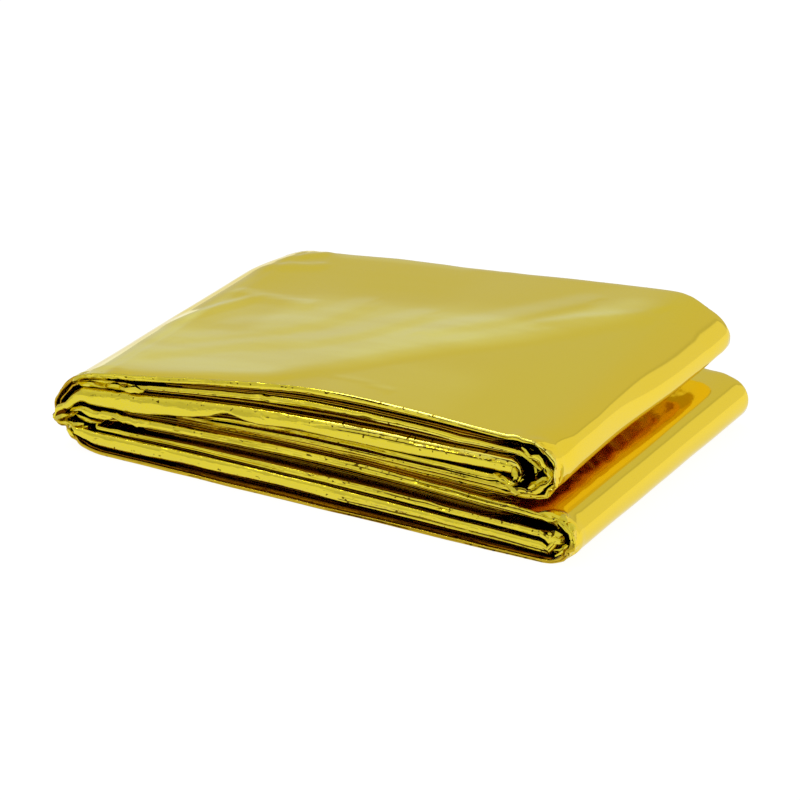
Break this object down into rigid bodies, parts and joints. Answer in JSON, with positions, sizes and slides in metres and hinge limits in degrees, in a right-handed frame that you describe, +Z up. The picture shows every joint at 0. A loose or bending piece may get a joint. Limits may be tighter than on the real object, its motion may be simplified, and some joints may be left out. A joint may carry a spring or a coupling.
{
  "type": "emergency foil blanket",
  "caption": "Gold metallised film rescue blanket, folded back and forth into a flat pack with a closed spine at one end and open loops at the other.",
  "frame": {"origin": "middle of the pack's footprint, on the surface that it rests on", "axes": "+X along the pack from the closed spine to the open loops, +Y from the front fold edges to the rear ones, +Z up"},
  "size_m": [0.1322, 0.0874, 0.0283],
  "materials": {
    "gold_foil": "gold metallised polyester film, bright at the folds and satin on the flat top"
  },
  "bodies": {
    "root": {"foil_blanket": "gold_foil"}
  },
  "joints": []
}
